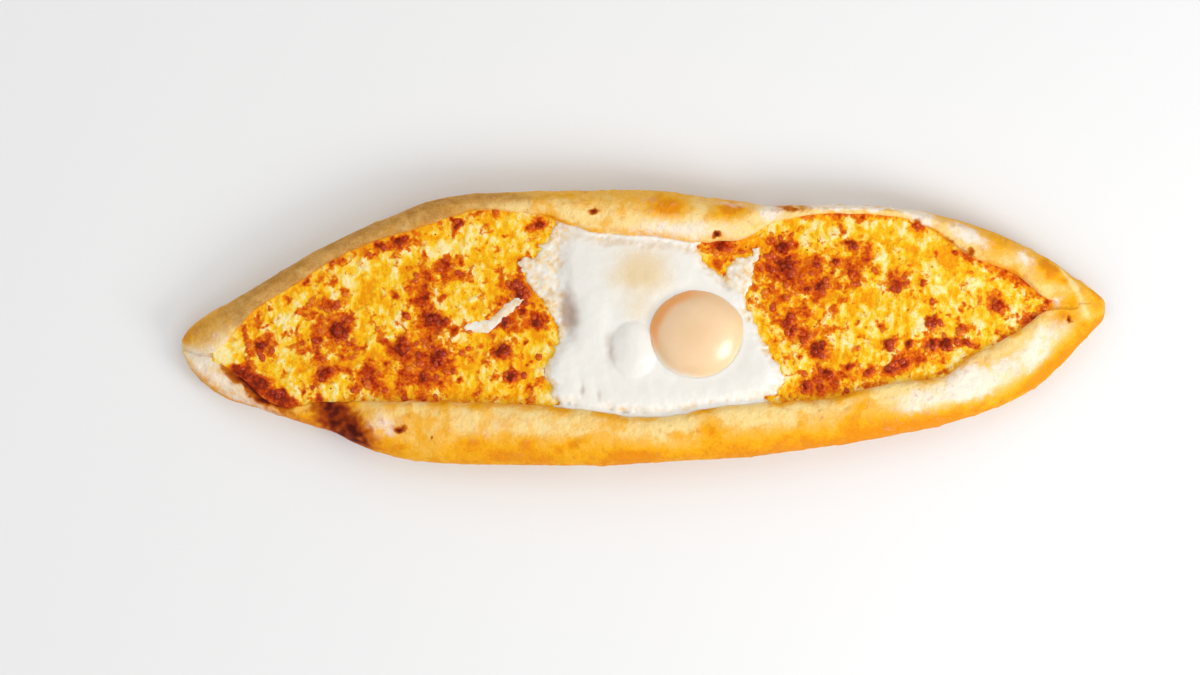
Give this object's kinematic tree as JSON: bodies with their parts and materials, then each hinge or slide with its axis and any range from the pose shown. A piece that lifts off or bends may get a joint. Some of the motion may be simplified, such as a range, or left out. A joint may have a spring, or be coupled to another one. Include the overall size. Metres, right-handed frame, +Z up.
{
  "type": "cheese pide",
  "caption": "Long boat-shaped flatbread with rolled edges, filled with melted browned cheese and topped with a baked egg.",
  "frame": {"origin": "on the table, under the middle of the bread's bounding box", "axes": "+X from the left tip to the right tip as the bread is seen from above, +Y to the far side, +Z up out of the filling"},
  "size_m": [0.37, 0.1109, 0.0264],
  "materials": {
    "crust": "baked dough, golden, dry with a soft sheen",
    "cheese": "melted cheese, browned in spots, oily",
    "egg_white": "baked egg white, smooth and moist",
    "egg_yolk": "soft yolk under a film of white, shiny",
    "egg_white_strip": "baked egg white, smooth"
  },
  "bodies": {
    "root": {"crust": "crust", "cheese": "cheese", "egg_white": "egg_white", "egg_yolk": "egg_yolk", "egg_white_strip": "egg_white_strip"}
  },
  "joints": []
}
